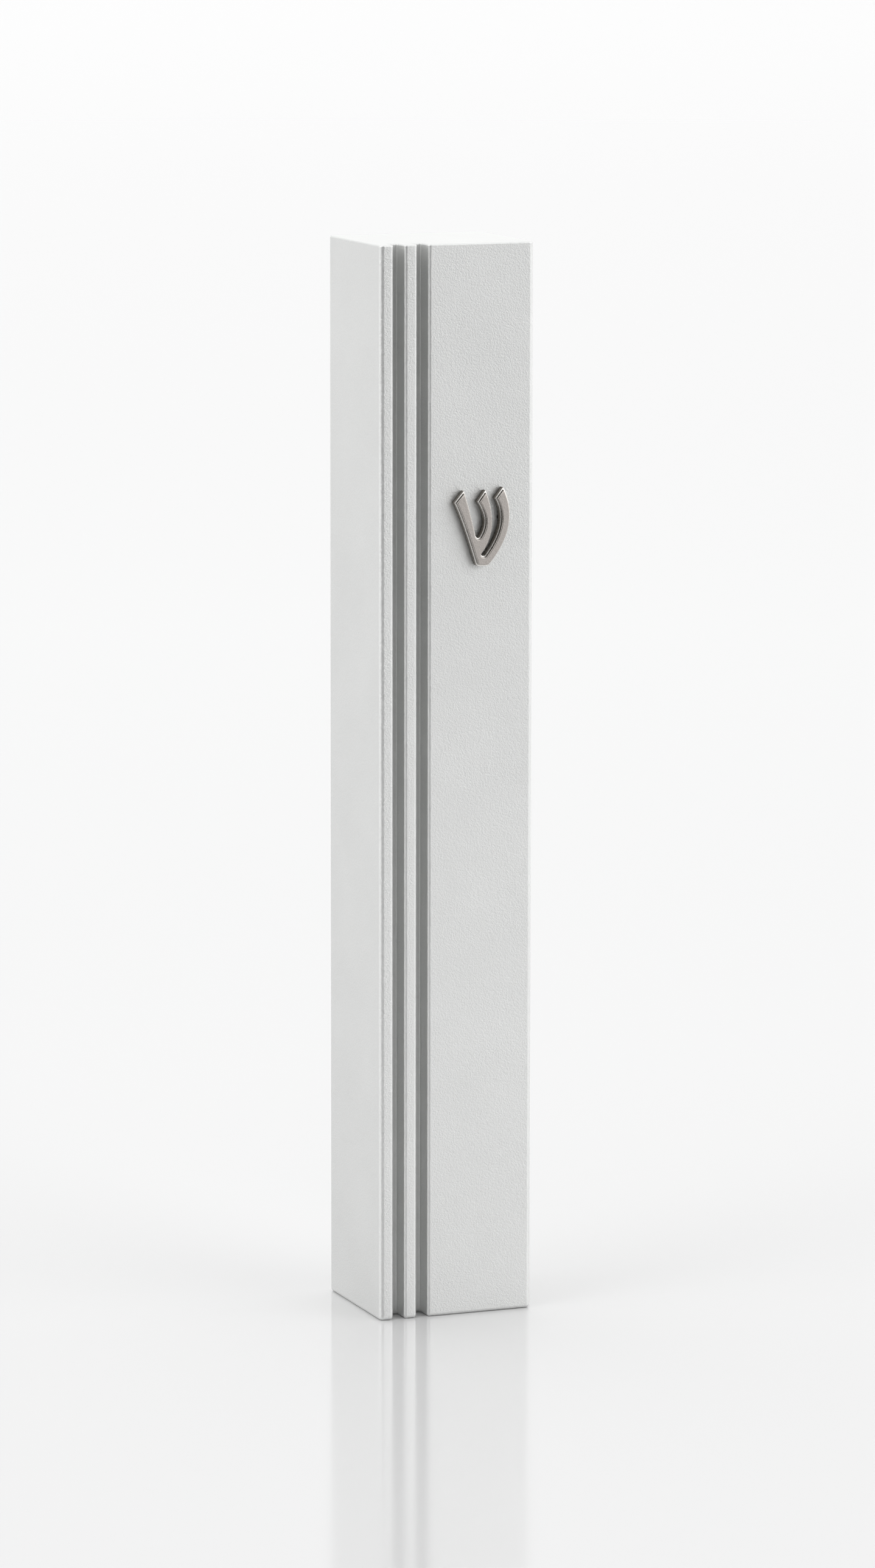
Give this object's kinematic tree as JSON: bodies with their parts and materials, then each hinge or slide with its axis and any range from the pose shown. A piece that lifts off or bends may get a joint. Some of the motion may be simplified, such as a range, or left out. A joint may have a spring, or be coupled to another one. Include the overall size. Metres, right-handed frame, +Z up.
{
  "type": "mezuzah case",
  "caption": "Slim square metal case with grooves down its front and a raised letter badge. It slides down over a wall plate that holds a rolled parchment.",
  "frame": {"origin": "centre of the underside of the foot, flush with the lower end of the case", "axes": "+X right as seen from the front, +Y towards the doorpost, +Z up"},
  "size_m": [0.0228, 0.0218, 0.15],
  "materials": {
    "case_metal": "fine blasted, pale silver satin",
    "letter_metal": "cast, warm grey, satin with polished rim",
    "plate_metal": "drawn, satin anodised",
    "foot_plastic": "moulded, fine matt",
    "screw_steel": "turned, zinc plated",
    "spring_steel": "rolled strip, bright",
    "pad_rubber": "matt",
    "clear_plastic": "clear, glossy",
    "parchment": "matt skin, blank"
  },
  "bodies": {
    "plate_assembly": {"wall_plate": "plate_metal", "foot_block": "foot_plastic", "foot_screw_left": "screw_steel", "foot_screw_right": "screw_steel", "lower_scroll_clip": "spring_steel", "upper_scroll_clip": "spring_steel", "lower_clip_rivet": "screw_steel", "upper_clip_rivet": "screw_steel", "stop_pad": "pad_rubber"},
    "case": {"case_shell": "case_metal", "shin_letter": "letter_metal"},
    "sleeve": {"scroll_sleeve": "clear_plastic"},
    "scroll": {"parchment_scroll": "parchment"}
  },
  "joints": [
    {"name": "case_slide", "type": "slide", "parent": "plate_assembly", "child": "case", "axis": [0, 0, 1], "range_m": [0, 0.15]},
    {"name": "sleeve_slide", "type": "slide", "parent": "plate_assembly", "child": "sleeve", "axis": [0, 0, 1], "range_m": [0, 0.0165]},
    {"name": "scroll_turn", "type": "hinge", "parent": "sleeve", "child": "scroll", "pos_m": [0, 0, 0.068], "axis": [0, 0, 1], "continuous": true}
  ]
}
